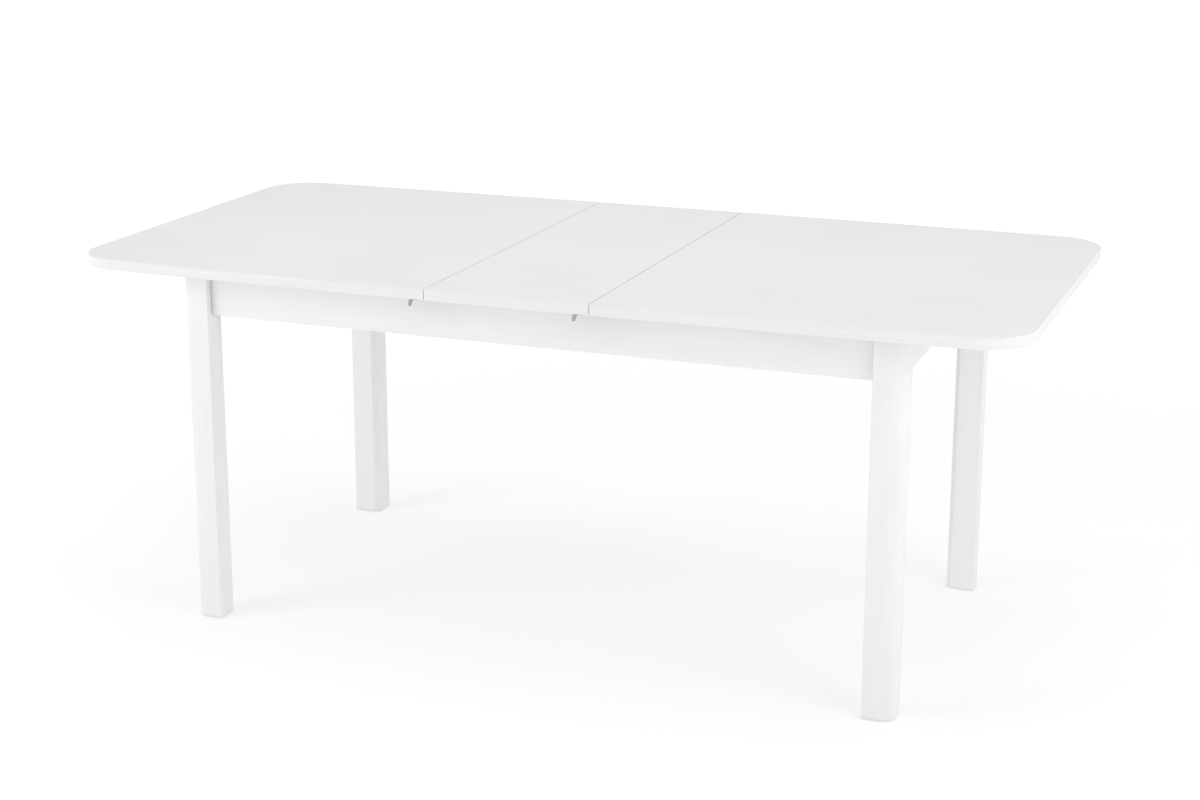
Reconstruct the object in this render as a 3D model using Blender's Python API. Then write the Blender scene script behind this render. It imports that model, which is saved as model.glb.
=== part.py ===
"""Extendable dining table: a fixed four-leg frame, two sliding top halves and one
lift-out leaf between them, held together underneath by four swing-hook locks.

Metres, +Z up, origin on the floor at the centre of the table. +X runs along the
length, -Y is the front long side. Every object made here is one closed solid.
"""
import math

import bmesh
import bpy
from mathutils import Matrix, Vector

# ---------------------------------------------------------------- driving sizes
TOP_LENGTH = 1.900          # with the leaf in place
TOP_WIDTH = 0.900           # at the corners
EDGE_CROWN = 0.011          # each long edge bows out by this much at mid length
TOP_HEIGHT = 0.755
BOARD_T = 0.021
CORNER_R = 0.097            # plan radius of the four outer corners
LEAF_WIDTH = 0.330
SEAM_GAP = 0.0010           # joint between neighbouring boards
BAND_T = 0.0010             # plastic edge banding
BAND_ARRIS = 0.0005
GLUE_GAP = 0.0001           # glue line between a board and its banding

LEG = 0.059                 # square section
LEG_OUT_X = 0.732           # outer faces of the legs from the table's centre
LEG_OUT_Y = 0.391
LEG_OUTER_R = 0.027         # big round on the corner that points outwards
LEG_INNER_CHAMFER = 0.0095  # flat on the corner that points inwards
LEG_EDGE_R = 0.0025         # the two other corners
LEG_FOOT_GAP = 0.0020       # the glide keeps the leg this far off the floor
LEG_ARRIS = 0.0010
NAIL_HOLE_R = 0.0031        # drilled up the foot for the glide's nail
NAIL_HOLE_TOP = 0.0165
FRAME_TOP = 0.7325          # tops of legs and aprons, 1.5 mm under the boards

APRON_H = 0.092
APRON_T = 0.018
APRON_RECESS = 0.017        # apron face behind the leg face
APRON_ARRIS = 0.001
JOINT_GAP = 0.0003          # clearance between parts that touch on the real table

BLOCK_T = 0.025             # corner block across the inside of each corner
BLOCK_Z = (0.645, 0.685)
BLOCK_CLEAR = 0.0020        # from the leg's chamfer, measured along X or Y
BOLT_R = 0.004
BOLT_POINT = 0.001          # chamfer at each end of the bolt
BOLT_IN_LEG = 0.034
BOLT_PAST_NUT = 0.0069
WASHER_R = 0.011
WASHER_T = 0.0016
NUT_HALF = 0.0065           # half across flats; also the nut's height

RAIL_Z = (0.690, 0.722)     # fixed guide channel
RAIL_DEPTH = 0.020
RAIL_WALL = 0.002
RAIL_HALF_LENGTH = 0.670
STRIP_CLEAR = 0.0005
RAIL_TO_RUNNER = 0.002      # between a channel's mouth and the runner's web
RUNNER_X = (0.190, 0.5015)  # moving runner at rest, from the centre
RUNNER_T = 0.002
RUNNER_FLANGE = 0.020
RUNNER_DROP = 0.004         # the web ends this far above the channel's underside
BATTEN_X = (0.465, 0.495)
BATTEN_T = 0.018
CROSSBAR_X = 0.210
CROSSBAR_W = 0.020

PLATE_T = 0.002
LEAF_PLATE_X = (-0.040, 0.022)   # from the seam: screwed part, part under the leaf
LEAF_PLATE_Y = (0.200, 0.232)
LEAF_PLATE_R = 0.004

PIVOT_FROM_SEAM = 0.025
PIVOT_Y = 0.430
STUD_FROM_SEAM = 0.014
LOCK_PLATE_R = 0.003
LOCK_BASE_HALF = 0.014           # half the base's width along X
LOCK_BASE_Y = (0.011, -0.023)    # from the pivot: outwards, inwards
CATCH_X = (-0.0105, 0.0145)      # from the stud
CATCH_HALF = 0.011
POST_R = 0.0040
POST_HEAD_R = 0.0065
PIVOT_HOLE_R = 0.0043
STUD_R = 0.0030
HOOK_SLOT = 0.0034               # half the width of the hook's slot
ARM_HALF = 0.0065
ARM_ROUND_R = 0.008              # round end of the lever at its pivot
LEVER_CLEAR = 0.0005
LEVER_T = 0.0025
LEVER_SWING = math.radians(80)   # rest (unlocked) to locked
TAB_DIRECTION = math.radians(162)   # from the hook's direction
TAB_ROOT = 0.004
TAB_HALF = 0.0045
TAB_REACH = 0.019
TAB_DROP = 0.0165

GLIDE_R = 0.018
GLIDE_T = 0.0017
GLIDE_NAIL_R = 0.0027
GLIDE_NAIL_TOP = 0.0160

BOARD_BOTTOM = TOP_HEIGHT - BOARD_T
UNDER = BOARD_BOTTOM - JOINT_GAP     # where hardware under the boards starts
HALF_L = TOP_LENGTH / 2
SEAM_X = LEAF_WIDTH / 2
APRON_Y = LEG_OUT_Y - APRON_RECESS           # outer face of a long apron
APRON_X = LEG_OUT_X - APRON_RECESS           # outer face of an end apron
INNER_Y = APRON_Y - APRON_T
INNER_X = APRON_X - APRON_T
LEG_IN_X = LEG_OUT_X - LEG
LEG_IN_Y = LEG_OUT_Y - LEG

SIDES = {"front": -1, "back": 1}
ENDS = {"left": -1, "right": 1}


# ------------------------------------------------------------------- materials
def principled(name, rgb, roughness, metallic=0.0):
    mat = bpy.data.materials.new(name)
    mat.use_nodes = True
    shader = mat.node_tree.nodes["Principled BSDF"]
    shader.inputs["Base Color"].default_value = (*rgb, 1.0)
    shader.inputs["Roughness"].default_value = roughness
    shader.inputs["Metallic"].default_value = metallic
    return mat


LAMINATE = principled("laminate_white", (0.83, 0.83, 0.82), 0.45)
BAND = principled("edge_band_white", (0.86, 0.86, 0.85), 0.40)
LACQUER = principled("lacquer_white", (0.85, 0.85, 0.84), 0.40)
BEECH = principled("beech", (0.66, 0.48, 0.30), 0.55)
ALUMINIUM = principled("aluminium", (0.76, 0.77, 0.78), 0.35, 1.0)
NYLON = principled("nylon_black", (0.03, 0.03, 0.03), 0.55)
GLIDE = principled("glide_grey", (0.42, 0.42, 0.41), 0.70)
STEEL = principled("zinc_steel", (0.55, 0.56, 0.57), 0.38, 1.0)


# --------------------------------------------------------------- mesh builders
def finish(bm, name, mat):
    bmesh.ops.recalc_face_normals(bm, faces=bm.faces)
    mesh = bpy.data.meshes.new(name)
    bm.to_mesh(mesh)
    bm.free()
    obj = bpy.data.objects.new(name, mesh)
    if mat is not None:
        obj.data.materials.append(mat)
    bpy.context.scene.collection.objects.link(obj)
    return obj


def loft(name, loops, mat, ring=False):
    """Skin equal-length loops of 3-D points. Ends are capped, or joined if ring."""
    bm = bmesh.new()
    rows = [[bm.verts.new(p) for p in loop] for loop in loops]
    count = len(rows[0])
    pairs = list(zip(rows, rows[1:]))
    if ring:
        pairs.append((rows[-1], rows[0]))
    for low, high in pairs:
        for i in range(count):
            j = (i + 1) % count
            bm.faces.new((low[i], low[j], high[j], high[i]))
    if not ring:
        bm.faces.new(rows[0])
        bm.faces.new(rows[-1])
    return finish(bm, name, mat)


def flat(loop, z):
    return [Vector((x, y, z)) for x, y in loop]


def prism(name, loop, z0, z1, mat):
    """Extrude a plan loop of (x, y) upwards."""
    return loft(name, [flat(loop, z0), flat(loop, z1)], mat)


def box(name, x, y, z, mat):
    loop = [(x[0], y[0]), (x[1], y[0]), (x[1], y[1]), (x[0], y[1])]
    return prism(name, loop, z[0], z[1], mat)


def along_x(name, section, x0, x1, mat):
    """Extrude a (y, z) section along X."""
    return loft(name, [[Vector((x, y, z)) for y, z in section] for x in (x0, x1)], mat)


def along_y(name, section, y0, y1, mat):
    """Extrude an (x, z) section along Y."""
    return loft(name, [[Vector((x, y, z)) for x, z in section] for y in (y0, y1)], mat)


def turned(name, rings, mat, place=Matrix(), steps=24):
    """Stack round or hexagonal rings (height, radius, is_hex) along local Z."""
    loops = []
    for height, radius, is_hex in rings:
        loop = []
        for i in range(steps):
            turn = 2 * math.pi * i / steps
            reach = radius
            if is_hex:
                reach = radius / math.cos((turn % (math.pi / 3)) - math.pi / 6)
            loop.append(place @ Vector((reach * math.cos(turn), reach * math.sin(turn), height)))
        loops.append(loop)
    return loft(name, loops, mat)


def drill(radius, start, stop, place, steps=16):
    """Cutting tool for a round hole along the local Z of place."""
    return turned("hole", [(start, radius, False), (stop, radius, False)], None, place, steps)


def combine(obj, tool, operation):
    """Boolean obj with tool, keep the result in obj and drop the tool."""
    mod = obj.modifiers.new("cut", "BOOLEAN")
    mod.operation = operation
    mod.solver = "EXACT"
    mod.object = tool
    shape = bpy.data.meshes.new_from_object(
        obj.evaluated_get(bpy.context.evaluated_depsgraph_get()))
    obj.modifiers.clear()
    obj.data = shape
    bpy.data.objects.remove(tool)
    return obj


def arc(cx, cy, radius, start, stop, steps):
    """Points on an arc, angles in degrees, both ends included."""
    points = []
    for i in range(steps + 1):
        turn = math.radians(start + (stop - start) * i / steps)
        points.append((cx + radius * math.cos(turn), cy + radius * math.sin(turn)))
    return points


def inset(loop, distance):
    """Move every side of a counter-clockwise plan loop inwards by distance."""
    moved = []
    for i, (x, y) in enumerate(loop):
        before = Vector((x, y)) - Vector(loop[i - 1])
        after = Vector(loop[(i + 1) % len(loop)]) - Vector((x, y))
        n0 = Vector((-before.y, before.x)).normalized()
        n1 = Vector((-after.y, after.x)).normalized()
        miter = (n0 + n1) / (1 + n0.dot(n1))
        moved.append((x + miter.x * distance, y + miter.y * distance))
    return moved


def rounded_rect(x, y, radius, steps=4):
    return (arc(x[1] - radius, y[1] - radius, radius, 0, 90, steps)
            + arc(x[0] + radius, y[1] - radius, radius, 90, 180, steps)
            + arc(x[0] + radius, y[0] + radius, radius, 180, 270, steps)
            + arc(x[1] - radius, y[0] + radius, radius, 270, 360, steps))


# ------------------------------------------------------------------- table top
def crown(x):
    return EDGE_CROWN * (1 - (x / HALF_L) ** 2)


def half_outline(end):
    """Counter-clockwise outline of one top half, seam side straight."""
    seam = SEAM_X + SEAM_GAP / 2
    start = HALF_L - CORNER_R
    right = []
    for i in range(13):                               # front long edge
        x = seam + (start - seam) * i / 12
        right.append((x, -(TOP_WIDTH / 2 + crown(x))))
    steps = 20
    for i in range(1, steps + 1):                     # front corner
        turn = math.radians(-90 + 90 * i / steps)
        x = start + CORNER_R * math.cos(turn)
        right.append((x, -(TOP_WIDTH / 2 - CORNER_R) + CORNER_R * math.sin(turn) - crown(x)))
    right += [(x, -y) for x, y in reversed(right)]    # back corner and long edge
    if end > 0:
        return right
    return [(-x, y) for x, y in reversed(right)]


def leaf_outline():
    seam = SEAM_X - SEAM_GAP / 2
    front = [(-seam + 2 * seam * i / 6, 0) for i in range(7)]
    front = [(x, -(TOP_WIDTH / 2 + crown(x))) for x, _ in front]
    return front + [(x, -y) for x, y in reversed(front)]


def board(tag, outline):
    """A board and the plastic band that runs round its edge."""
    prism("board_" + tag, inset(outline, BAND_T + GLUE_GAP), BOARD_BOTTOM, TOP_HEIGHT, LAMINATE)
    eased = inset(outline, BAND_ARRIS)
    inner = inset(outline, BAND_T)
    loft("edge_band_" + tag, [
        flat(inner, BOARD_BOTTOM),
        flat(eased, BOARD_BOTTOM),
        flat(outline, BOARD_BOTTOM + BAND_ARRIS),
        flat(outline, TOP_HEIGHT - BAND_ARRIS),
        flat(eased, TOP_HEIGHT),
        flat(inner, TOP_HEIGHT)], BAND, ring=True)


def top():
    for tag, end in ENDS.items():
        board(tag, half_outline(end))
    board("leaf", leaf_outline())


# ----------------------------------------------------------------------- frame
def leg_outline(sx, sy):
    """Section of one leg, its round corner pointing to (sx, sy)."""
    outer_x, outer_y = LEG_OUT_X, LEG_OUT_Y
    inner_x, inner_y = LEG_IN_X, LEG_IN_Y
    cut, small = LEG_INNER_CHAMFER, LEG_EDGE_R
    loop = arc(outer_x - LEG_OUTER_R, outer_y - LEG_OUTER_R, LEG_OUTER_R, 0, 90, 14)
    loop += arc(inner_x + small, outer_y - small, small, 90, 180, 4)
    loop += [(inner_x, inner_y + cut), (inner_x + cut, inner_y)]
    loop += arc(outer_x - small, inner_y + small, small, 270, 360, 4)
    loop = [(sx * x, sy * y) for x, y in loop]
    if sx * sy < 0:
        loop.reverse()
    return loop


def corner_frame(sx, sy):
    """Matrix whose Z runs from the leg's chamfer in towards the table's middle."""
    inwards = Vector((-sx, -sy, 0)).normalized()
    across = Vector((0, 0, 1)).cross(inwards)
    half = LEG_INNER_CHAMFER / 2
    face = Vector((sx * (LEG_IN_X + half), sy * (LEG_IN_Y + half), sum(BLOCK_Z) / 2))
    turn = Matrix((Vector((0, 0, 1)), across, inwards)).transposed()
    return Matrix.Translation(face) @ turn.to_4x4()


def corner(tag, sx, sy):
    """A leg with its glide, and the block and bolt that hold it in the corner."""
    outline = leg_outline(sx, sy)
    foot = inset(outline, LEG_ARRIS)
    leg = loft("leg_" + tag, [
        flat(foot, LEG_FOOT_GAP),
        flat(outline, LEG_FOOT_GAP + LEG_ARRIS),
        flat(outline, FRAME_TOP)], LACQUER)
    cx, cy = sx * (LEG_OUT_X - LEG / 2), sy * (LEG_OUT_Y - LEG / 2)
    nail_hole = Matrix.Translation((cx, cy, 0))
    combine(leg, drill(NAIL_HOLE_R, -GLIDE_R, NAIL_HOLE_TOP, nail_hole), "DIFFERENCE")
    place = corner_frame(sx, sy)
    bolt_hole = BOLT_R + JOINT_GAP
    combine(leg, drill(bolt_hole, -BOLT_IN_LEG - BOLT_POINT, LEG_OUTER_R, place), "DIFFERENCE")

    turned("glide_" + tag, [
        (0.0, GLIDE_R - 0.0012, False), (0.0007, GLIDE_R, False), (GLIDE_T, GLIDE_R, False),
        (GLIDE_T, GLIDE_NAIL_R, False), (GLIDE_NAIL_TOP - 0.0020, GLIDE_NAIL_R, False),
        (GLIDE_NAIL_TOP, GLIDE_NAIL_R - 0.0015, False)], GLIDE, nail_hole)

    # The block is bounded by the two aprons' inner faces and two lines at 45 degrees.
    gap = JOINT_GAP
    wall_x, wall_y = INNER_X - gap, INNER_Y - gap
    line = LEG_IN_X + LEG_IN_Y + LEG_INNER_CHAMFER - BLOCK_CLEAR
    back = line - BLOCK_T * math.sqrt(2)
    plan = [(line - wall_y, wall_y), (back - wall_y, wall_y),
            (wall_x, back - wall_x), (wall_x, line - wall_x)]
    plan = [(sx * x, sy * y) for x, y in plan]
    block = prism("corner_block_" + tag, plan, BLOCK_Z[0], BLOCK_Z[1], BEECH)
    combine(block, drill(bolt_hole, -BLOCK_T, 2 * BLOCK_T, place), "DIFFERENCE")

    # Hanger bolt with a washer and nut tightened against the block.
    seat = BLOCK_CLEAR / math.sqrt(2) + BLOCK_T + JOINT_GAP
    nut_foot = seat + WASHER_T
    nut_top = nut_foot + NUT_HALF
    tip = nut_top + BOLT_PAST_NUT
    turned("hanger_bolt_" + tag, [
        (-BOLT_IN_LEG, BOLT_R - BOLT_POINT, False), (-BOLT_IN_LEG + BOLT_POINT, BOLT_R, False),
        (seat, BOLT_R, False), (seat, WASHER_R, False), (nut_foot, WASHER_R, False),
        (nut_foot, NUT_HALF, True), (nut_top, NUT_HALF, True), (nut_top, BOLT_R, False),
        (tip - BOLT_POINT, BOLT_R, False), (tip, BOLT_R - BOLT_POINT, False)], STEEL, place)


def apron_section(face, inner):
    """Upright board with its two lower arrises eased."""
    low = FRAME_TOP - APRON_H
    eased = low + APRON_ARRIS
    ease = math.copysign(APRON_ARRIS, inner - face)
    return [(face, FRAME_TOP), (face, eased), (face + ease, low),
            (inner - ease, low), (inner, eased), (inner, FRAME_TOP)]


def frame():
    for side, sy in SIDES.items():
        for end, sx in ENDS.items():
            corner(side + "_" + end, sx, sy)
        reach = LEG_IN_X - JOINT_GAP
        along_x("apron_" + side, apron_section(sy * APRON_Y, sy * INNER_Y), -reach, reach, LACQUER)
        guide_rail(side, sy)
    for end, sx in ENDS.items():
        reach = LEG_IN_Y - JOINT_GAP
        along_y("apron_" + end, apron_section(sx * APRON_X, sx * INNER_X), -reach, reach, LACQUER)
        half = CROSSBAR_W / 2
        reach = INNER_Y - JOINT_GAP
        box("crossbar_" + end, (sx * CROSSBAR_X - half, sx * CROSSBAR_X + half),
            (-reach, reach), BLOCK_Z, BEECH)


def guide_rail(side, sy):
    """Channel on a long apron's inner face, open to the middle, ends folded shut."""
    back = INNER_Y - JOINT_GAP
    mouth = back - RAIL_DEPTH
    reach = RAIL_HALF_LENGTH
    rail = box("guide_rail_" + side, (-reach, reach), sorted((sy * back, sy * mouth)),
               RAIL_Z, ALUMINIUM)
    reach -= RAIL_WALL
    hollow = box("hollow", (-reach, reach),
                 sorted((sy * (back - RAIL_WALL), sy * (mouth - RAIL_DEPTH))),
                 (RAIL_Z[0] + RAIL_WALL, RAIL_Z[1] - RAIL_WALL), ALUMINIUM)
    combine(rail, hollow, "DIFFERENCE")


# --------------------------------------------------------------- sliding gear
def sliding_gear():
    """Runner angles, their slide strips and the battens that tie them, per half."""
    mouth = INNER_Y - JOINT_GAP - RAIL_DEPTH
    web = mouth - RAIL_TO_RUNNER              # outer face of the runner's upright
    for end, sx in ENDS.items():
        x0, x1 = sorted(sx * x for x in RUNNER_X)
        for side, sy in SIDES.items():
            tag = side + "_" + end
            low = RAIL_Z[0] + RUNNER_DROP
            section = [(web, low), (web - RUNNER_T, low), (web - RUNNER_T, UNDER - RUNNER_T),
                       (web - RUNNER_FLANGE, UNDER - RUNNER_T), (web - RUNNER_FLANGE, UNDER),
                       (web, UNDER)]
            along_x("runner_" + tag, [(sy * y, z) for y, z in section], x0, x1, ALUMINIUM)
            ys = sorted((sy * (web + JOINT_GAP),
                         sy * (INNER_Y - JOINT_GAP - RAIL_WALL - STRIP_CLEAR)))
            box("slide_strip_" + tag, (x0, x1), ys,
                (RAIL_Z[0] + RAIL_WALL + STRIP_CLEAR, RAIL_Z[1] - RAIL_WALL - STRIP_CLEAR), NYLON)
        reach = web - RUNNER_FLANGE - JOINT_GAP
        box("batten_" + end, sorted(sx * x for x in BATTEN_X), (-reach, reach),
            (UNDER - BATTEN_T, UNDER), BEECH)


def leaf_plates():
    """Steel plates under each half that the leaf's two edges rest on."""
    for end, sx in ENDS.items():
        xs = sorted(sx * (SEAM_X - x) for x in LEAF_PLATE_X)
        for side, sy in SIDES.items():
            ys = sorted(sy * y for y in LEAF_PLATE_Y)
            prism("leaf_plate_" + side + "_" + end, rounded_rect(xs, ys, LEAF_PLATE_R),
                  UNDER - PLATE_T, UNDER, STEEL)


# ----------------------------------------------------------------- leaf locks
def lock(tag, seam_x, sy):
    """Swing-hook lock: base with pivot post, hook lever at rest, catch with stud."""
    pivot = Matrix.Translation((seam_x - PIVOT_FROM_SEAM, sy * PIVOT_Y, 0))
    lever_top = UNDER - PLATE_T - LEVER_CLEAR
    lever_low = lever_top - LEVER_T
    to_stud = PIVOT_FROM_SEAM + STUD_FROM_SEAM

    cx, cy = seam_x - PIVOT_FROM_SEAM, sy * PIVOT_Y
    base = prism("lock_base_" + tag,
                 rounded_rect((cx - LOCK_BASE_HALF, cx + LOCK_BASE_HALF),
                              sorted(cy + sy * y for y in LOCK_BASE_Y), LOCK_PLATE_R),
                 UNDER - PLATE_T, UNDER, STEEL)
    head = lever_low - LEVER_CLEAR
    post = turned("post", [
        (UNDER - PLATE_T / 2, POST_R, False), (head, POST_R, False), (head, POST_HEAD_R, False),
        (head - 0.0010, POST_HEAD_R, False), (head - 0.0016, POST_HEAD_R - 0.0013, False)],
        STEEL, pivot)
    combine(base, post, "UNION")

    # Lever drawn in its locked position, hook towards +X and slot open to the side
    # it swings in from, then turned back to rest. The back locks are mirrored.
    slot = HOOK_SLOT
    plan = arc(0, 0, ARM_ROUND_R, 90, 270, 12)
    plan += [(to_stud - slot - 0.010, -ARM_HALF), (to_stud - slot - 0.001, -ARM_HALF),
             (to_stud - slot, -ARM_HALF + 0.001)]
    plan += arc(to_stud, 0, slot, 180, 0, 8)
    hook = [(slot, -0.0075), (slot + 0.0015, -0.0085), (0.0085, -0.0065), (0.0105, -0.0020),
            (0.0100, 0.0030), (0.0070, 0.0070), (0.0020, 0.0082)]     # round the stud
    plan += [(to_stud + x, y) for x, y in hook]
    lever = prism("lock_lever_" + tag, plan, lever_low, lever_top, STEEL)
    radial = Vector((math.cos(TAB_DIRECTION), math.sin(TAB_DIRECTION), 0))
    sideways = Vector((-radial.y, radial.x, 0))

    def tab_ring(near, far, half, shift, z):
        corners = ((near, -half), (far, -half), (far, half), (near, half))
        return [radial * r + sideways * (s + shift) + Vector((0, 0, z)) for r, s in corners]

    stalk = loft("stalk", [tab_ring(TAB_ROOT, TAB_REACH, TAB_HALF, 0, lever_low),
                           tab_ring(TAB_ROOT, TAB_REACH, TAB_HALF, 0, lever_top)], STEEL)
    combine(lever, stalk, "UNION")
    tip = BOARD_BOTTOM - TAB_DROP
    # From its bend the finger leans outwards, twists aside a little and narrows.
    finger = loft("finger", [
        tab_ring(TAB_REACH + out - LEVER_T, TAB_REACH + out, half, aside, z)
        for out, half, aside, z in (
            (0.0000, TAB_HALF, 0.0000, lever_top - 0.0010),
            (0.0004, TAB_HALF, -0.0002, lever_low - 0.0020),
            (0.0013, 0.0038, -0.0020, tip + 0.0012),
            (0.0015, 0.0026, -0.0022, tip))], STEEL)
    combine(lever, finger, "UNION")
    combine(lever, drill(PIVOT_HOLE_R, lever_low - LEVER_T, lever_top + LEVER_T, Matrix(), 24),
            "DIFFERENCE")
    lever.data.transform(Matrix.Rotation(LEVER_SWING, 4, "Z"))
    if sy > 0:
        lever.data.transform(Matrix.Diagonal((1, -1, 1, 1)))
        lever.data.flip_normals()
    lever.data.transform(pivot)

    sx = seam_x + STUD_FROM_SEAM
    catch = prism("lock_catch_" + tag,
                  rounded_rect([sx + x for x in CATCH_X], (cy - CATCH_HALF, cy + CATCH_HALF),
                               LOCK_PLATE_R), UNDER - PLATE_T, UNDER, STEEL)
    stud_end = lever_low - LEVER_CLEAR - 0.0007
    stud = turned("stud", [
        (UNDER - PLATE_T / 2, STUD_R, False), (stud_end + 0.0006, STUD_R, False),
        (stud_end, STUD_R - 0.0006, False)], STEEL, Matrix.Translation((sx, cy, 0)))
    combine(catch, stud, "UNION")


def locks():
    for side, sy in SIDES.items():
        lock(side + "_left", -SEAM_X, sy)
        lock(side + "_right", SEAM_X, sy)


for leftover in list(bpy.data.objects):
    bpy.data.objects.remove(leftover)
top()
frame()
sliding_gear()
leaf_plates()
locks()
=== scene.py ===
"""Looks for the extendable dining table: materials, small hardware, studio and camera.

Metres, +Z up, +X along the length, -Y is the front long side, as in the CAD frame.
"""
import math

import bmesh
import bpy
from mathutils import Matrix, Vector


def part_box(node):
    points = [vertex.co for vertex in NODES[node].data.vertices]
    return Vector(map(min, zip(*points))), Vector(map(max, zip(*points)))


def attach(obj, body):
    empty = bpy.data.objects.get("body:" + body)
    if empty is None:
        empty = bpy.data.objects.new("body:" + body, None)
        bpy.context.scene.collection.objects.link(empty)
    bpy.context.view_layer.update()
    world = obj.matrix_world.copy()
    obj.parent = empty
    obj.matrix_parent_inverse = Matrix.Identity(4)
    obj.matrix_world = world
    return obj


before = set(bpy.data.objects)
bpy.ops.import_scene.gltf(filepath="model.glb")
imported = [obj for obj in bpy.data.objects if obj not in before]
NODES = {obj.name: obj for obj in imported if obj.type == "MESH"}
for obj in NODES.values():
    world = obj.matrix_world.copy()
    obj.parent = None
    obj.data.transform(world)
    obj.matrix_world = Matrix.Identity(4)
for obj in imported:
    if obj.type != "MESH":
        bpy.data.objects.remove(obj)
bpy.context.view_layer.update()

SIDES = {"front": -1, "back": 1}     # direction along Y
ENDS = {"left": -1, "right": 1}      # direction along X
DOWN = (0, 0, -1)

# ---------------------------------------------------------------- hardware sizes
SHEET_T = 0.002                 # guide rails, runners and lock plates in the CAD
PAN_R = 0.0042                  # pan-head wood screw
PAN_H = 0.0026
FLAT_R = 0.0036                 # countersunk screw, almost flush
FLAT_H = 0.00025
FLAT_DEPTH = 0.0012             # its cone reaches this far into the sheet
SEAT_DEPTH = 0.00015            # pan heads sink this far, so no gap shows
SCREW_TURN = 37                 # degrees from one screw's recess to the next one's
CREASE = math.radians(32)       # edges sharper than this stay crisp

RUNNER_SCREW_INSET = 0.022      # from the ends of the part that the screws hold
BATTEN_SCREW_INSET = 0.030
RAIL_SCREW_INSET = 0.050
LEAF_PLATE_SCREWS = (0.013, 0.031)   # from the leaf board's edge
BASE_SCREW_INSET = 0.006        # from the lock base's inner corners
CATCH_SCREW_INSET = 0.0048      # from the lock catch's right corners
BLOCK_SCREW_INSET = 0.011       # from the corner block's top and bottom
BLOCK_SCREW_SPOTS = (0.20, 0.80)     # along the block's slanted face

ANGLE_T = 0.0015                # folded angles that hold a crossbar's ends
ANGLE_LEG = 0.026
ANGLE_BEND = 0.0015             # inner radius of the fold
ANGLE_BEND_STEPS = 5
ANGLE_INSET = 0.005             # from the crossbar's top and bottom
ANGLE_SCREW_INSET = 0.008       # from the angle's top and bottom
ANGLE_SCREW_REACH = ANGLE_LEG * 0.62     # along each leg, from the fold

# ------------------------------------------------------------------ studio levels
FLOOR_HALF = 40.0               # half its side
FLOOR_ALBEDO = 0.50
FLOOR_GLOW_NEAR = 0.538         # round the table
FLOOR_GLOW_FAR = 0.700          # where the soft boxes no longer reach
FLOOR_GLOW_SPAN = (0.9, 4.5)    # distances between which the one turns into the other
SHOWN_WHITE = 1.02              # surroundings as the camera sees them
SKY_LOW = 0.741                 # mean light from low directions
SKY_SLOPE = (0.20, 0.078, 0.0)  # brighter towards +X and +Y
SKY_HIGH = 0.682
SKY_SPAN = (0.25, 0.75)         # sines of the heights between low and high sky
LEFT_POWER = 45
RIGHT_POWER = 11
ABOVE_POWER = 21

# ------------------------------------------------------------------------- camera
SENSOR_WIDTH = 36.0             # mm, like the lens
LENS = 65.683
LENS_SHIFT = (0.0383, -0.0350)
CAMERA_PLACE = (1.5555, -4.0406, 1.6768)
CAMERA_YAW = math.radians(22.1657)       # left of +Y
CAMERA_PITCH = math.radians(14.8999)     # down
CAMERA_ROLL = math.radians(-0.2240)


# --------------------------------------------------------------------- materials
def grey(level):
    return (level, level, level)


def even(scale):
    """Noise scales that are the same along X, Y and Z."""
    return (scale, scale, scale)


def along(axis, length_scale, cross_scale):
    """Noise scales for streaks that run along one axis."""
    return [length_scale if i == axis else cross_scale for i in range(3)]


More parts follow.
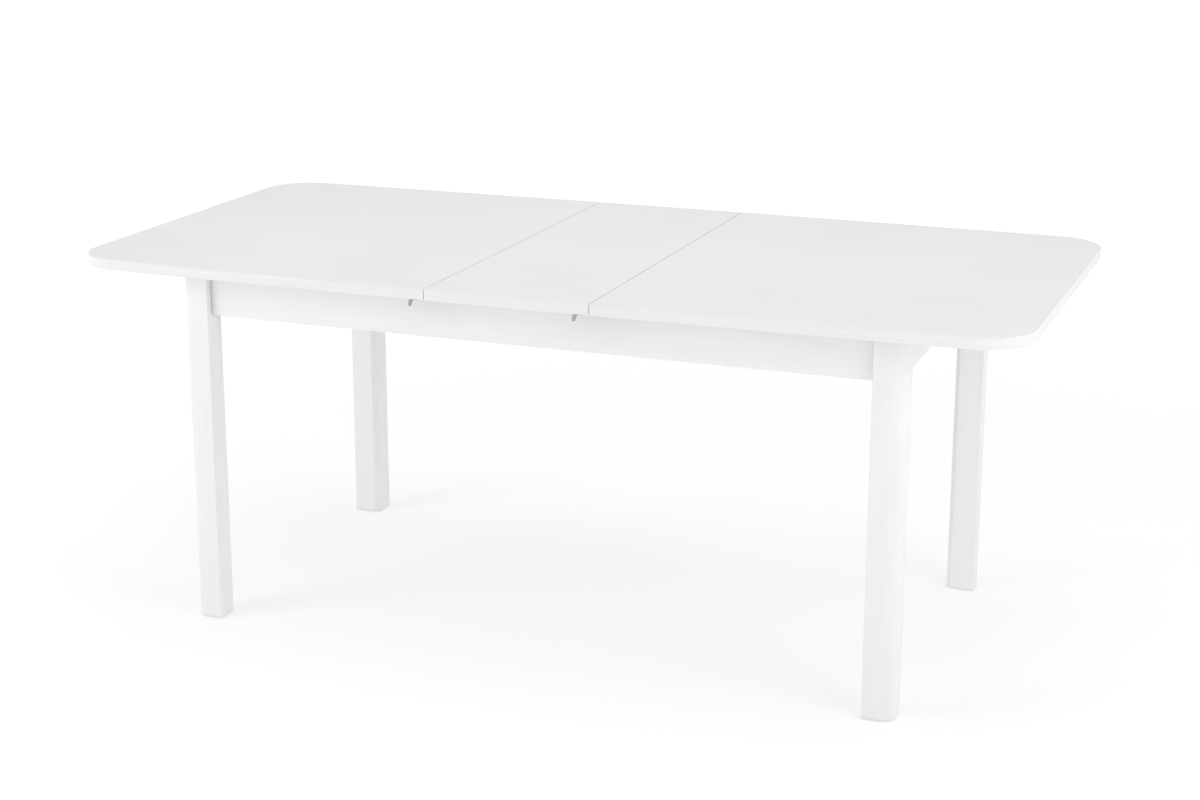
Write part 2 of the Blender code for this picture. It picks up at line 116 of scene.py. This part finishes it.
class Nodes:
    """A material's node tree, with short calls to add and join nodes."""

    def __init__(self, name):
        self.mat = bpy.data.materials.new(name)
        self.mat.use_nodes = True
        self.tree = self.mat.node_tree
        self.shader = self.tree.nodes["Principled BSDF"]
        self.place = self.add("TexCoord").outputs["Object"]

    def add(self, kind, **settings):
        node = self.tree.nodes.new("ShaderNode" + kind)
        for key, value in settings.items():
            setattr(node, key, value)
        return node

    def link(self, source, target):
        self.tree.links.new(source, target)

    def noise(self, scale, detail, rough, distortion=0.0):
        """Noise with its own scale along X, Y and Z, in cycles per metre."""
        stretch = self.add("Mapping")
        stretch.inputs["Scale"].default_value = scale
        self.link(self.place, stretch.inputs["Vector"])
        noise = self.add("TexNoise")
        noise.inputs["Scale"].default_value = 1.0
        noise.inputs["Detail"].default_value = detail
        noise.inputs["Roughness"].default_value = rough
        noise.inputs["Distortion"].default_value = distortion
        self.link(stretch.outputs["Vector"], noise.inputs["Vector"])
        return noise.outputs["Fac"]

    def ramp(self, source, *stops):
        """Colour ramp; stops are (position, colour)."""
        ramp = self.add("ValToRGB")
        elements = ramp.color_ramp.elements
        while len(elements) < len(stops):
            elements.new(0.5)
        for element, (position, colour) in zip(elements, stops):
            element.position = position
            element.color = (*colour, 1.0)
        self.link(source, ramp.inputs["Fac"])
        return ramp.outputs["Color"]

    def greys(self, source, *stops):
        """Grey ramp; stops are (position, level)."""
        return self.ramp(source, *[(position, grey(level)) for position, level in stops])

    def multiply(self, first, second):
        """Product of two colours."""
        mix = self.add("Mix", data_type="RGBA", blend_type="MULTIPLY")
        mix.inputs["Factor"].default_value = 1.0
        self.link(first, mix.inputs["A"])
        self.link(second, mix.inputs["B"])
        return mix.outputs["Result"]

    def spread(self, source, low, high):
        """Map a 0.3 to 0.7 noise onto low to high."""
        out = self.add("MapRange")
        out.inputs["From Min"].default_value = 0.3
        out.inputs["From Max"].default_value = 0.7
        out.inputs["To Min"].default_value = low
        out.inputs["To Max"].default_value = high
        self.link(source, out.inputs["Value"])
        return out.outputs["Result"]

    def painted_crevice_shade(self, colour, reach, darkest, open_at):
        """Painted shade: darken joints, corners and spots hemmed in by other parts, by their
        ambient occlusion; open_at is the openness that counts as clear.
        """
        cover = self.add("AmbientOcclusion", samples=6)
        cover.inputs["Distance"].default_value = reach
        shade = self.greys(cover.outputs["AO"], (0.10, darkest), (open_at, 1.0))
        return self.multiply(colour, shade)

    def bump(self, height, depth, onto=None):
        """Bump of the given depth in metres, on top of another bump if given."""
        bump = self.add("Bump")
        bump.inputs["Strength"].default_value = 1.0
        bump.inputs["Distance"].default_value = depth
        self.link(height, bump.inputs["Height"])
        if onto is not None:
            self.link(onto, bump.inputs["Normal"])
        return bump.outputs["Normal"]

    def finish(self, colour, roughness, normal, metallic=0.0):
        self.link(colour, self.shader.inputs["Base Color"])
        self.link(roughness, self.shader.inputs["Roughness"])
        self.link(normal, self.shader.inputs["Normal"])
        self.shader.inputs["Metallic"].default_value = metallic
        return self.mat


def laminate():
    """White melamine: faint clouds, a fine pressed grain, satin gloss."""
    n = Nodes("laminate_white_satin")
    clouds = n.noise(even(3.2), detail=2.0, rough=0.45)
    speckle = n.noise(even(420), detail=2.0, rough=0.6)
    streak = n.noise((9, 160, 60), detail=3.0, rough=0.6)
    base = n.greys(clouds, (0.30, 0.806), (0.70, 0.832))
    marks = n.greys(streak, (0.35, 0.985), (0.65, 1.0))
    dots = n.greys(speckle, (0.30, 0.985), (0.60, 1.0))
    colour = n.multiply(n.multiply(base, marks), dots)
    pressed = n.bump(n.noise(even(900), detail=2.0, rough=0.6), depth=0.00003)
    grain = n.bump(streak, depth=0.00002, onto=pressed)
    return n.finish(colour, n.spread(clouds, 0.40, 0.48), grain)


def edge_band():
    """Plastic banding: fine streaks that run round the edge at one height."""
    n = Nodes("edge_band_streaked")
    fine = n.noise((14, 14, 1500), detail=3.0, rough=0.65)
    wide = n.noise((5, 5, 350), detail=2.0, rough=0.5)
    colour = n.multiply(n.greys(fine, (0.30, 0.786), (0.70, 0.842)),
                        n.greys(wide, (0.30, 0.960), (0.70, 1.0)))
    # painted shade: the band is darkened where it is hemmed in, deepest in the seams between
    # the boards
    colour = n.painted_crevice_shade(colour, reach=0.003, darkest=0.25, open_at=0.62)
    return n.finish(colour, n.spread(fine, 0.34, 0.42), n.bump(fine, depth=0.00002))


def lacquer(axis):
    """White lacquer on wood, a faint grain along the part, slight orange peel."""
    n = Nodes("lacquer_white_along_" + "xyz"[axis])
    grain = n.noise(along(axis, 6, 420), detail=3.0, rough=0.6)
    soft = n.noise(along(axis, 3, 40), detail=2.0, rough=0.5)
    colour = n.multiply(n.greys(grain, (0.30, 0.830), (0.70, 0.858)),
                        n.greys(soft, (0.30, 0.975), (0.70, 1.0)))
    # painted shade: the lacquer is darkened within about 12 mm of joints, at the aprons'
    # ends by the legs and under the top's overhang
    colour = n.painted_crevice_shade(colour, reach=0.012, darkest=0.62, open_at=0.80)
    peel = n.bump(n.noise(even(260), detail=1.0, rough=0.4), depth=0.00004)
    return n.finish(colour, n.spread(soft, 0.36, 0.44), n.bump(grain, 0.000025, onto=peel))


def beech(axis):
    """Plain sawn beech: straight pale grain with the short dark flecks of its rays."""
    n = Nodes("beech_along_" + "xyz"[axis])
    rings = n.noise(along(axis, 2.5, 55), detail=4.0, rough=0.6, distortion=0.6)
    fibre = n.noise(along(axis, 25, 1100), detail=3.0, rough=0.6)
    flecks = n.noise(along(axis, 110, 900), detail=1.0, rough=0.5)
    colour = n.ramp(rings, (0.25, (0.50, 0.315, 0.175)), (0.50, (0.62, 0.41, 0.245)),
                    (0.75, (0.70, 0.49, 0.31)))
    colour = n.multiply(colour, n.greys(fibre, (0.30, 0.88), (0.65, 1.0)))
    dark = n.ramp(flecks, (0.28, (0.60, 0.50, 0.42)), (0.38, grey(1.0)))
    colour = n.multiply(colour, dark)
    return n.finish(colour, n.spread(fibre, 0.50, 0.66), n.bump(fibre, depth=0.00010))


def aluminium():
    """Extruded aluminium: die lines along X."""
    n = Nodes("aluminium_extruded")
    lines = n.noise(along(0, 4, 2600), detail=3.0, rough=0.7)
    stain = n.noise(even(18), detail=2.0, rough=0.5)
    colour = n.ramp(stain, (0.30, (0.70, 0.71, 0.72)), (0.70, (0.80, 0.81, 0.82)))
    return n.finish(colour, n.spread(lines, 0.26, 0.44), n.bump(lines, depth=0.00003),
                    metallic=1.0)


def zinc():
    """Bright zinc plating on pressed steel, with its cloudy spangle."""
    n = Nodes("zinc_plated_steel")
    cloud = n.noise(even(260), detail=3.0, rough=0.6)
    tint = n.noise(even(60), detail=2.0, rough=0.5)
    # painted shade: the zinc's colours are darkened throughout, to the tone it shows in the
    # shade under the top
    colour = n.multiply(
        n.ramp(cloud, (0.30, (0.34, 0.345, 0.35)), (0.70, (0.46, 0.465, 0.47))),
        n.ramp(tint, (0.30, (1.0, 0.98, 0.94)), (0.70, (0.95, 0.98, 1.0))))
    fine = n.noise(even(700), detail=2.0, rough=0.5)
    return n.finish(colour, n.spread(cloud, 0.28, 0.42), n.bump(fine, depth=0.00003),
                    metallic=1.0)


def nylon():
    """Black slide strip, drawn along X, a little polished where it runs."""
    n = Nodes("nylon_black_strip")
    lines = n.noise(along(0, 8, 900), detail=3.0, rough=0.6)
    colour = n.greys(lines, (0.30, 0.022), (0.70, 0.045))
    return n.finish(colour, n.spread(lines, 0.38, 0.58), n.bump(lines, depth=0.00004))


def glide():
    """Grey moulded glide with a finely eroded surface."""
    n = Nodes("glide_grey_moulded")
    fine = n.noise(even(1400), detail=2.0, rough=0.6)
    patch = n.noise(even(90), detail=2.0, rough=0.5)
    colour = n.multiply(n.greys(patch, (0.30, 0.36), (0.70, 0.43)),
                        n.greys(fine, (0.30, 0.90), (0.70, 1.0)))
    return n.finish(colour, n.spread(patch, 0.60, 0.75), n.bump(fine, depth=0.00006))


ZINC = zinc()
ALUMINIUM = aluminium()
LACQUER_X, LACQUER_Y, LACQUER_Z = [lacquer(axis) for axis in range(3)]
BEECH_Y = beech(1)
BEECH_Z = beech(2)
FINISHES = {                     # by the start of the node's name
    "board_": laminate(), "edge_band_": edge_band(), "leg_": LACQUER_Z,
    "apron_front": LACQUER_X, "apron_back": LACQUER_X,
    "apron_left": LACQUER_Y, "apron_right": LACQUER_Y,
    "crossbar_": BEECH_Y, "batten_": BEECH_Y, "corner_block_": BEECH_Z,
    "guide_rail_": ALUMINIUM, "runner_": ALUMINIUM, "slide_strip_": nylon(),
    "glide_": glide(), "hanger_bolt_": ZINC, "leaf_plate_": ZINC, "lock_": ZINC,
}
for name, node in NODES.items():
    for start, material in FINISHES.items():
        if name.startswith(start):
            for material_slot in node.material_slots:
                material_slot.material = material


# ------------------------------------------------------------------ mesh helpers
def loft(rows):
    """Closed mesh through rings of points, each ring with the same count."""
    bm = bmesh.new()
    rings = [[bm.verts.new(point) for point in row] for row in rows]
    count = len(rings[0])
    for low, high in zip(rings, rings[1:]):
        for i in range(count):
            j = (i + 1) % count
            bm.faces.new((low[i], low[j], high[j], high[i]))
    bm.faces.new(rings[0])
    bm.faces.new(rings[-1])
    return bm


def turned(profile, sides=32):
    """Turned mesh about local Z, from (height, radius) points."""
    turns = [2 * math.pi * i / sides for i in range(sides)]
    return loft([[(radius * math.cos(a), radius * math.sin(a), height) for a in turns]
                 for height, radius in profile])


def as_object(bm, name):
    bmesh.ops.recalc_face_normals(bm, faces=bm.faces)
    mesh = bpy.data.meshes.new(name)
    bm.to_mesh(mesh)
    bm.free()
    obj = bpy.data.objects.new(name, mesh)
    bpy.context.scene.collection.objects.link(obj)
    return obj


def dress(obj, body):
    """Zinc finish, smooth shading with crisp edges, and the body it moves with."""
    obj.data.materials.clear()
    obj.data.materials.append(ZINC)
    obj.data.shade_smooth()
    obj.data.set_sharp_from_angle(angle=CREASE)
    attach(obj, body)


def spaced(low, high, count):
    """Evenly spaced values, both ends included."""
    return [low + (high - low) * i / (count - 1) for i in range(count)]


def towards(direction, low, high):
    """The end of a stretch that lies in the direction +1 or -1."""
    return high if direction > 0 else low


# ------------------------------------------------------------------------ screws
def cross_head(profile, width, reach, depth):
    """Mesh of a screw head with a cross recess: half width and reach of its arms, depth.

    The arms taper: they are wider and longer above the head than at their floor.
    """
    head = as_object(turned(profile), "head")
    top = profile[-1][0]
    arm = ((top - depth, width * 0.6, reach * 0.35), (top + depth, width * 1.3, reach * 1.6))
    for turn in (0, 90):
        bm = loft([[(x, y, height) for x, y in ((-r, -w), (r, -w), (r, w), (-r, w))]
                   for height, w, r in arm])
        bm.transform(Matrix.Rotation(math.radians(turn), 4, "Z"))
        tool = as_object(bm, "tool")
        cut = head.modifiers.new("cut", "BOOLEAN")
        cut.operation = "DIFFERENCE"
        cut.solver = "EXACT"
        cut.object = tool
        mesh = bpy.data.meshes.new_from_object(
            head.evaluated_get(bpy.context.evaluated_depsgraph_get()))
        head.modifiers.clear()
        head.data = mesh
        bpy.data.objects.remove(tool)
    mesh = head.data
    bpy.data.objects.remove(head)
    return mesh


PAN = cross_head([(-SEAT_DEPTH, PAN_R * 0.96), (0.0004, PAN_R), (PAN_H * 0.45, PAN_R * 0.96),
                  (PAN_H * 0.75, PAN_R * 0.84), (PAN_H * 0.93, PAN_R * 0.62),
                  (PAN_H, PAN_R * 0.34)], width=0.00050, reach=0.0021, depth=0.0015)
FLAT = cross_head([(-FLAT_DEPTH, FLAT_R * 0.72), (0.0, FLAT_R), (FLAT_H, FLAT_R * 0.97)],
                  width=0.00045, reach=0.0019, depth=0.0011)


def screws(name, head, places, body):
    """One piece per group: a screw head at every (point, direction it faces)."""
    bm = bmesh.new()
    for count, (point, facing) in enumerate(places):
        one = bmesh.new()
        one.from_mesh(head)
        spin = Matrix.Rotation(math.radians(SCREW_TURN * count % 90), 4, "Z")
        turn = Vector(facing).to_track_quat("Z", "Y").to_matrix().to_4x4()
        one.transform(Matrix.Translation(point) @ turn @ spin)
        part = bpy.data.meshes.new("part")
        one.to_mesh(part)
        one.free()
        bm.from_mesh(part)
        bpy.data.meshes.remove(part)
    dress(as_object(bm, name), body)


def board_screws(end):
    """Screws that hold one half's runners and batten to its board."""
    places = []
    for side in SIDES:
        low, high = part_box(f"runner_{side}_{end}")
        for x in spaced(low.x + RUNNER_SCREW_INSET, high.x - RUNNER_SCREW_INSET, 5):
            places.append((Vector((x, (low.y + high.y) / 2, high.z - SHEET_T)), DOWN))
    low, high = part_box(f"batten_{end}")
    for y in spaced(low.y + BATTEN_SCREW_INSET, high.y - BATTEN_SCREW_INSET, 5):
        places.append((Vector(((low.x + high.x) / 2, y, low.z)), DOWN))
    screws(f"board_screws_{end}", PAN, places, f"top_{end}")


def leaf_plate_screws(end):
    """Two screws through the fixed part of each plate that carries the leaf's edge."""
    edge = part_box("board_leaf")[1].x * ENDS[end]
    places = []
    for side in SIDES:
        low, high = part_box(f"leaf_plate_{side}_{end}")
        for reach in LEAF_PLATE_SCREWS:
            x = edge + ENDS[end] * reach
            places.append((Vector((x, (low.y + high.y) / 2, low.z)), DOWN))
    screws(f"leaf_plate_screws_{end}", PAN, places, f"top_{end}")


def lock_screws():
    """Countersunk screws of the lock plates; the levers swing just under them."""
    owner = {("base", "left"): "top_left", ("base", "right"): "leaf",
             ("catch", "left"): "leaf", ("catch", "right"): "top_right"}
    for (part, end), body in owner.items():
        places = []
        for side, sy in SIDES.items():
            low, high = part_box(f"lock_{part}_{side}_{end}")
            if part == "base":
                y = towards(-sy, low.y, high.y) + sy * BASE_SCREW_INSET
                spots = [(low.x + BASE_SCREW_INSET, y), (high.x - BASE_SCREW_INSET, y)]
            else:
                x = high.x - CATCH_SCREW_INSET
                spots = [(x, low.y + CATCH_SCREW_INSET), (x, high.y - CATCH_SCREW_INSET)]
            places += [(Vector((x, y, high.z - SHEET_T)), DOWN) for x, y in spots]
        screws(f"lock_{part}_screws_{end}", FLAT, places, body)


def rail_screws():
    """Screws inside the guide channels, through their webs into the long aprons."""
    places = []
    for side, sy in SIDES.items():
        low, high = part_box(f"guide_rail_{side}")
        web = towards(sy, low.y, high.y) - sy * SHEET_T
        for x in spaced(low.x + RAIL_SCREW_INSET, high.x - RAIL_SCREW_INSET, 7):
            places.append((Vector((x, web, (low.z + high.z) / 2)), (0, -sy, 0)))
    screws("rail_screws", FLAT, places, "frame")


def corner_block_screws():
    """Four screws round each hanger bolt, in the corner block's slanted face."""
    places = []
    for side, sy in SIDES.items():
        for end, sx in ENDS.items():
            low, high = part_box(f"corner_block_{side}_{end}")
            start = Vector((towards(-sx, low.x, high.x), towards(sy, low.y, high.y), 0))
            stop = Vector((towards(sx, low.x, high.x), towards(-sy, low.y, high.y), 0))
            for part in BLOCK_SCREW_SPOTS:
                for z in (low.z + BLOCK_SCREW_INSET, high.z - BLOCK_SCREW_INSET):
                    point = start.lerp(stop, part)
                    places.append((Vector((point.x, point.y, z)), (-sx, -sy, 0)))
    screws("corner_block_screws", PAN, places, "frame")


# --------------------------------------------------------------- crossbar angles
def angle_section():
    """Plan of a folded angle: legs along +X and +Y from the origin, counter-clockwise."""
    outer = ANGLE_BEND + ANGLE_T
    turns = [math.pi / 2 * i / ANGLE_BEND_STEPS for i in range(ANGLE_BEND_STEPS + 1)]
    plan = [(ANGLE_LEG, 0), (ANGLE_LEG, ANGLE_T)]
    plan += [(outer - ANGLE_BEND * math.sin(a), outer - ANGLE_BEND * math.cos(a))
             for a in turns]
    plan += [(ANGLE_T, ANGLE_LEG), (0, ANGLE_LEG)]
    plan += [(outer - outer * math.cos(a), outer - outer * math.sin(a)) for a in turns]
    return plan


def crossbar_angles():
    """Folded steel angles, two at each end of a crossbar, that hold it to the aprons."""
    places = []
    for end in ENDS:
        low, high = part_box(f"crossbar_{end}")
        bottom, top = low.z + ANGLE_INSET, high.z - ANGLE_INSET
        for side, sy in SIDES.items():
            wall = towards(sy, low.y, high.y)
            for face, fx in (("a", -1), ("b", 1)):
                bar = towards(fx, low.x, high.x)
                bm = loft([[(bar + fx * x, wall - sy * y, z) for x, y in angle_section()]
                           for z in (bottom, top)])
                dress(as_object(bm, f"crossbar_angle_{side}_{end}_{face}"), "frame")
                for z in (bottom + ANGLE_SCREW_INSET, top - ANGLE_SCREW_INSET):
                    on_bar = (bar + fx * ANGLE_T, wall - sy * ANGLE_SCREW_REACH, z)
                    on_apron = (bar + fx * ANGLE_SCREW_REACH, wall - sy * ANGLE_T, z)
                    places.append((Vector(on_bar), (fx, 0, 0)))
                    places.append((Vector(on_apron), (0, -sy, 0)))
    screws("crossbar_angle_screws", PAN, places, "frame")


for end in ENDS:
    board_screws(end)
    leaf_plate_screws(end)
lock_screws()
rail_screws()
corner_block_screws()
crossbar_angles()


# ------------------------------------------------------------------------- studio
def smooth_step(tree, source, span, low=0.0, high=1.0):
    """Value that turns smoothly from low to high as the source crosses the span."""
    step = tree.nodes.new("ShaderNodeMapRange")
    step.interpolation_type = "SMOOTHSTEP"
    step.inputs["From Min"].default_value = span[0]
    step.inputs["From Max"].default_value = span[1]
    step.inputs["To Min"].default_value = low
    step.inputs["To Max"].default_value = high
    tree.links.new(source, step.inputs["Value"])
    return step.outputs["Result"]


def floor():
    """Pale floor, mostly self-lit, so the shadow under the table stays faint.

    Its back is clear, so the table can also be looked at from underneath.
    """
    half = FLOOR_HALF
    bm = bmesh.new()
    bm.faces.new([bm.verts.new(p) for p in
                  ((-half, -half, 0), (half, -half, 0), (half, half, 0), (-half, half, 0))])
    obj = as_object(bm, "studio_floor")
    mat = bpy.data.materials.new("floor_pale")
    mat.use_nodes = True
    mat.cycles.emission_sampling = "NONE"
    tree = mat.node_tree
    link = tree.links.new
    shader = tree.nodes["Principled BSDF"]
    shader.inputs["Base Color"].default_value = (*grey(FLOOR_ALBEDO), 1)
    shader.inputs["Roughness"].default_value = 1.0
    shader.inputs["Specular IOR Level"].default_value = 0.0
    shader.inputs["Emission Color"].default_value = (1, 1, 1, 1)
    spot = tree.nodes.new("ShaderNodeNewGeometry")
    distance = tree.nodes.new("ShaderNodeVectorMath")
    distance.operation = "LENGTH"
    link(spot.outputs["Position"], distance.inputs[0])
    glow = smooth_step(tree, distance.outputs["Value"], FLOOR_GLOW_SPAN,
                       FLOOR_GLOW_NEAR, FLOOR_GLOW_FAR)
    link(glow, shader.inputs["Emission Strength"])
    clear = tree.nodes.new("ShaderNodeBsdfTransparent")
    pick = tree.nodes.new("ShaderNodeMixShader")
    link(spot.outputs["Backfacing"], pick.inputs["Fac"])
    link(shader.outputs["BSDF"], pick.inputs[1])
    link(clear.outputs["BSDF"], pick.inputs[2])
    link(pick.outputs["Shader"], tree.nodes["Material Output"].inputs["Surface"])
    obj.data.materials.append(mat)


def surroundings():
    """White surroundings, shown pure white, that light the table from every side."""
    world = bpy.data.worlds.new("studio")
    world.use_nodes = True
    tree = world.node_tree
    link = tree.links.new
    shown = tree.nodes["Background"]
    shown.inputs["Color"].default_value = (1, 1, 1, 1)
    shown.inputs["Strength"].default_value = SHOWN_WHITE
    lighting = tree.nodes.new("ShaderNodeBackground")
    lighting.inputs["Color"].default_value = (1, 1, 1, 1)
    direction = tree.nodes.new("ShaderNodeTexCoord").outputs["Generated"]
    slope = tree.nodes.new("ShaderNodeVectorMath")
    slope.operation = "DOT_PRODUCT"
    slope.inputs[1].default_value = SKY_SLOPE
    link(direction, slope.inputs[0])
    low = tree.nodes.new("ShaderNodeMath")
    low.inputs[1].default_value = SKY_LOW
    link(slope.outputs["Value"], low.inputs[0])
    split = tree.nodes.new("ShaderNodeSeparateXYZ")
    link(direction, split.inputs["Vector"])
    level = tree.nodes.new("ShaderNodeMix")
    link(smooth_step(tree, split.outputs["Z"], SKY_SPAN), level.inputs["Factor"])
    link(low.outputs["Value"], level.inputs["A"])
    level.inputs["B"].default_value = SKY_HIGH
    link(level.outputs["Result"], lighting.inputs["Strength"])
    path = tree.nodes.new("ShaderNodeLightPath")
    pick = tree.nodes.new("ShaderNodeMixShader")
    link(path.outputs["Is Camera Ray"], pick.inputs["Fac"])
    link(lighting.outputs["Background"], pick.inputs[1])
    link(shown.outputs["Background"], pick.inputs[2])
    link(pick.outputs["Shader"], tree.nodes["World Output"].inputs["Surface"])
    scene = bpy.context.scene
    scene.world = world
    scene.view_settings.view_transform = "Standard"
    scene.view_settings.look = "None"


def soft_light(name, place, target, size, power):
    data = bpy.data.lights.new(name, "AREA")
    data.shape = "RECTANGLE"
    data.size, data.size_y = size
    data.energy = power
    obj = bpy.data.objects.new(name, data)
    obj.location = place
    aim = Vector(target) - Vector(place)
    obj.rotation_mode = "QUATERNION"
    obj.rotation_quaternion = aim.to_track_quat("-Z", "Y")
    bpy.context.scene.collection.objects.link(obj)


def soft_lights():
    """Soft boxes left, right and above."""
    soft_light("soft_left", place=(-3.2, -3.0, 2.0), target=(-0.5, -0.3, 0.5),
               size=(2.0, 2.0), power=LEFT_POWER)
    soft_light("soft_right", place=(2.4, -1.2, 1.4), target=(0.8, -0.3, 0.6),
               size=(1.2, 1.2), power=RIGHT_POWER)
    soft_light("soft_above", place=(0, 0.1, 3.2), target=(0, 0, 0.7),
               size=(3.0, 2.0), power=ABOVE_POWER)


def camera():
    """The photograph's viewpoint, fitted to the table's edges, seams, legs and feet."""
    data = bpy.data.cameras.new("camera")
    data.sensor_width = SENSOR_WIDTH
    data.lens = LENS
    data.shift_x, data.shift_y = LENS_SHIFT
    obj = bpy.data.objects.new("camera", data)
    yaw, pitch, roll = CAMERA_YAW, CAMERA_PITCH, CAMERA_ROLL
    forward = Vector((-math.sin(yaw) * math.cos(pitch), math.cos(yaw) * math.cos(pitch),
                      -math.sin(pitch)))
    right = Vector((math.cos(yaw), math.sin(yaw), 0))
    up = right.cross(forward)
    right, up = (right * math.cos(roll) + up * math.sin(roll),
                 up * math.cos(roll) - right * math.sin(roll))
    turn = Matrix((right, up, -forward)).transposed().to_4x4()
    obj.matrix_world = Matrix.Translation(CAMERA_PLACE) @ turn
    bpy.context.scene.collection.objects.link(obj)
    bpy.context.scene.camera = obj


floor()
surroundings()
soft_lights()
camera()
